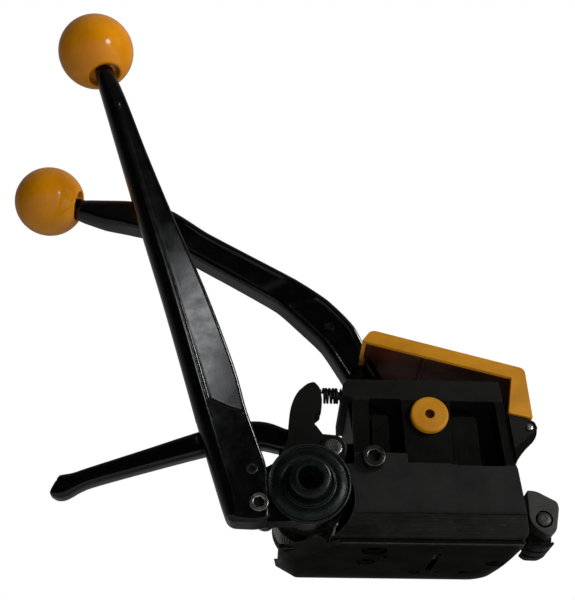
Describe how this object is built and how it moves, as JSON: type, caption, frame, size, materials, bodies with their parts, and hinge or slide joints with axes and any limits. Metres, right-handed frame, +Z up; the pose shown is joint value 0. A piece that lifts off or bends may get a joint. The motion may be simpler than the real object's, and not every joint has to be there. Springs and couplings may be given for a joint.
{
  "type": "strapping tensioner tool",
  "caption": "Hand tool that tensions, cuts and notch-seals steel strap, with two ball-knobbed levers, a ratchet hub, a rocker handle and a flip-up cover.",
  "frame": {"origin": "on the base plate's flat underside, on the plane of the lever side to far side middle, close to the slug slot", "axes": "+X along the strap towards the cover's hinge, +Y away from the tension lever side, +Z up from the sole"},
  "size_m": [0.2676, 0.0942, 0.2816],
  "materials": {
    "blackened_steel": "matt blackened casting with light edge wear",
    "worn_steel": "hardened steel, worn brownish grey with scratches",
    "gloss_black": "gloss black enamel on forged steel",
    "hub_steel": "dark turned steel, satin",
    "bright_steel": "bright steel, lightly scratched",
    "tool_steel": "ground tool steel",
    "spring_steel": "oil-blackened spring wire",
    "bronze": "sintered bronze",
    "amber_plastic": "amber moulded plastic, satin",
    "amber_knob": "amber moulded plastic, polished"
  },
  "bodies": {
    "frame": {"body_casting": "blackened_steel", "base_plate": "blackened_steel", "side_rail": "worn_steel", "gripper_plate": "tool_steel", "die_plate": "tool_steel", "front_socket_screw": "bright_steel", "rail_screw": "tool_steel", "die_screw_left": "tool_steel", "die_screw_right": "tool_steel", "die_dowel_left": "tool_steel", "die_dowel_right": "tool_steel", "rail_dowel": "tool_steel", "rocker_pivot_pin": "bright_steel", "guide_hinge_pin": "bright_steel", "lid_hinge_pin": "bright_steel", "spring_stud": "tool_steel", "lid_bracket": "blackened_steel", "bracket_screw_low": "tool_steel", "bracket_screw_high": "tool_steel", "return_spring_left": "spring_steel", "return_spring_right": "spring_steel"},
    "rocker": {"rocker_frame": "blackened_steel", "rocker_handle": "gloss_black", "front_bush": "bronze", "rear_bush": "bronze", "handle_screw_low": "tool_steel", "handle_screw_high": "tool_steel", "holding_pawl_pin": "tool_steel", "rocker_spring": "spring_steel"},
    "holding_pawl": {"holding_pawl": "tool_steel"},
    "tension_lever": {"tension_lever": "gloss_black", "tension_knob": "amber_knob", "ratchet_cover": "hub_steel", "drive_pawl_screw": "bright_steel", "stop_screw": "bright_steel"},
    "drive_pawl": {"drive_pawl": "tool_steel"},
    "feed_shaft": {"feed_shaft": "tool_steel", "feed_wheel": "tool_steel", "drive_ratchet": "tool_steel", "holding_ratchet": "tool_steel"},
    "sealing_lever": {"sealing_lever": "gloss_black", "sealing_knob": "amber_knob", "sealing_shaft": "tool_steel", "lever_cross_pin": "bright_steel", "shaft_cap": "amber_plastic", "sealing_cam": "tool_steel"},
    "punch_slide": {"punch_holder": "tool_steel", "cutter_blade": "tool_steel", "notch_punch_left": "tool_steel", "notch_punch_right": "tool_steel"},
    "lid": {"lid": "amber_plastic"},
    "strap_guide": {"strap_guide": "worn_steel"}
  },
  "joints": [
    {"name": "rocker_lift", "type": "hinge", "parent": "frame", "child": "rocker", "pos_m": [-0.0427, 0, 0.0416], "axis": [0, 1, 0], "range_deg": [0, 10], "stiffness_Nm_per_rad": 2, "springref_deg": -11.46, "deforming": ["rocker_spring"]},
    {"name": "holding_pawl_pivot", "type": "hinge", "parent": "rocker", "child": "holding_pawl", "pos_m": [-0.072, -0.017, 0.013], "axis": [0, -1, 0], "range_deg": [0, 8], "stiffness_Nm_per_rad": 0.02, "springref_deg": -17.19},
    {"name": "tension_stroke", "type": "hinge", "parent": "rocker", "child": "tension_lever", "pos_m": [-0.0538, 0, 0.0206], "axis": [0, 1, 0], "range_deg": [0, 75]},
    {"name": "feed_spin", "type": "hinge", "parent": "rocker", "child": "feed_shaft", "pos_m": [-0.0538, 0, 0.0206], "axis": [0, 1, 0], "range_deg": [0, 75]},
    {"name": "drive_pawl_pivot", "type": "hinge", "parent": "tension_lever", "child": "drive_pawl", "pos_m": [-0.0748, -0.038, 0.0109], "axis": [0, -1, 0], "range_deg": [0, 8], "stiffness_Nm_per_rad": 0.02, "springref_deg": -17.19},
    {"name": "sealing_stroke", "type": "hinge", "parent": "frame", "child": "sealing_lever", "pos_m": [0.0014, 0, 0.0595], "axis": [0, 1, 0], "range_deg": [0, 90]},
    {"name": "punch_press", "type": "slide", "parent": "frame", "child": "punch_slide", "axis": [0, 0, -1], "range_m": [0, 0.0045], "deforming": ["return_spring_left", "return_spring_right"]},
    {"name": "lid_open", "type": "hinge", "parent": "frame", "child": "lid", "pos_m": [0.0466, 0, 0.0547], "axis": [0, 1, 0], "range_deg": [0, 90]},
    {"name": "guide_swing", "type": "hinge", "parent": "frame", "child": "strap_guide", "pos_m": [0.0484, 0, 0.0123], "axis": [0, -1, 0], "range_deg": [0, 8], "stiffness_Nm_per_rad": 0.5, "springref_deg": -11.46}
  ],
  "couplings": [
    {"joint": "feed_spin", "follows": "tension_stroke", "ratio": 1},
    {"joint": "punch_press", "follows": "sealing_stroke", "m_per_rad": 0.00286},
    {"joint": "lid_open", "follows": "sealing_stroke", "ratio": 1}
  ]
}
